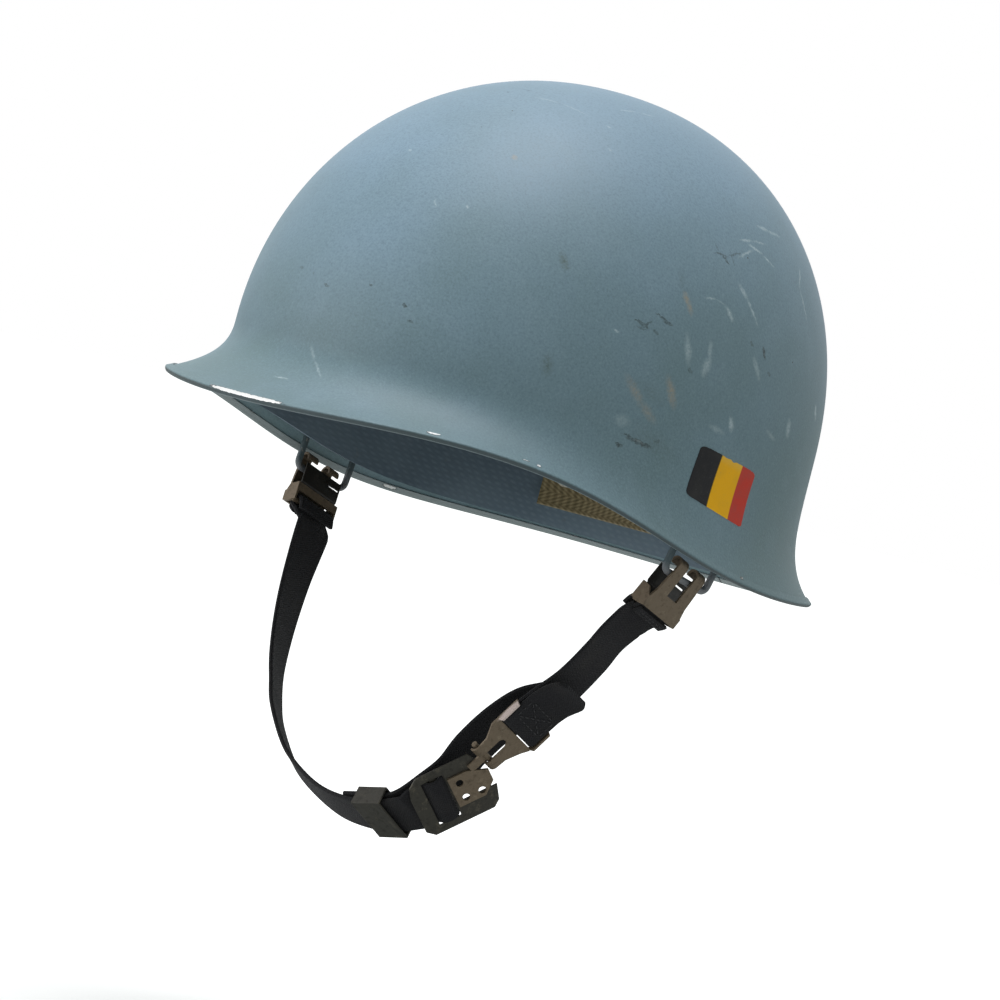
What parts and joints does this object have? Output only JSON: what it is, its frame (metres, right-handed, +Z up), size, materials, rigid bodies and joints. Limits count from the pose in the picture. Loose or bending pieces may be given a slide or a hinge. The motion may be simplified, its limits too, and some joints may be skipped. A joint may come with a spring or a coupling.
{
  "type": "steel helmet",
  "caption": "Steel combat helmet with a separate liner, a webbing suspension, hinged strap bales and a buckled chin strap.",
  "frame": {"origin": "middle of the head opening, in the level plane of the rim's lowest point at the rear", "axes": "+Z up through the crown, -Y to the front of the helmet, +X to the wearer's left; the strap hangs below the origin"},
  "size_m": [0.2366, 0.2871, 0.3023],
  "materials": {
    "shell_paint": "matt light blue paint, chipped",
    "edging_paint": "matt blue paint, rubbed to bare metal in places",
    "transfer": "three upright stripes, black, yellow and red",
    "bale_wire": "dark blue-grey paint",
    "liner_shell": "laminated liner, matt blue-grey",
    "khaki_webbing": "woven cotton tape",
    "plated_steel": "dull plating",
    "sweatband": "brown leather, satin",
    "bronzed_steel": "brown phosphate finish, satin",
    "olive_steel": "dark olive finish, satin",
    "black_webbing": "woven nylon tape"
  },
  "bodies": {
    "liner": {"liner_shell": "liner_shell", "crown_webbing": "khaki_webbing", "headband_web": "khaki_webbing", "web_washers": "plated_steel", "liner_rivets": "plated_steel", "sweatband": "sweatband", "sweatband_clips": "plated_steel", "nape_strap": "khaki_webbing", "nape_studs": "plated_steel"},
    "shell": {"steel_shell": "shell_paint", "rim_edging": "edging_paint", "side_decal": "transfer", "bale_bracket_left": "edging_paint", "bale_bracket_right": "edging_paint"},
    "left_bale": {"bale_left": "bale_wire"},
    "right_bale": {"bale_right": "bale_wire"},
    "left_strap": {"hook_clip_left": "bronzed_steel", "clip_tongue_left": "bronzed_steel", "left_webbing": "black_webbing", "release_hook": "bronzed_steel"},
    "right_strap": {"hook_clip_right": "bronzed_steel", "clip_tongue_right": "bronzed_steel", "chin_webbing": "black_webbing", "inner_webbing": "black_webbing", "strap_keeper": "olive_steel", "adjuster_buckle": "olive_steel", "catch_plate": "bronzed_steel"}
  },
  "joints": [
    {"name": "shell_lift", "type": "slide", "parent": "liner", "child": "shell", "axis": [0, 0, 1], "range_m": [0, 0.004]},
    {"name": "left_bale_swing", "type": "hinge", "parent": "shell", "child": "left_bale", "pos_m": [0.10815, 0.01031, 0.02133], "axis": [0.0597, -0.9763, 0.2079], "range_deg": [0, 18]},
    {"name": "right_bale_swing", "type": "hinge", "parent": "shell", "child": "right_bale", "pos_m": [-0.10815, 0.01031, 0.02133], "axis": [0.0597, 0.9763, -0.2079], "range_deg": [0, 18]},
    {"name": "left_strap_swing", "type": "hinge", "parent": "left_bale", "child": "left_strap", "pos_m": [0.10649, 0.00648, 0.00382], "axis": [0.0597, -0.9763, 0.2079], "range_deg": [0, 60]},
    {"name": "right_strap_swing", "type": "hinge", "parent": "right_bale", "child": "right_strap", "pos_m": [-0.10649, 0.00648, 0.00382], "axis": [0.0597, 0.9763, -0.2079], "range_deg": [0, 60]}
  ]
}
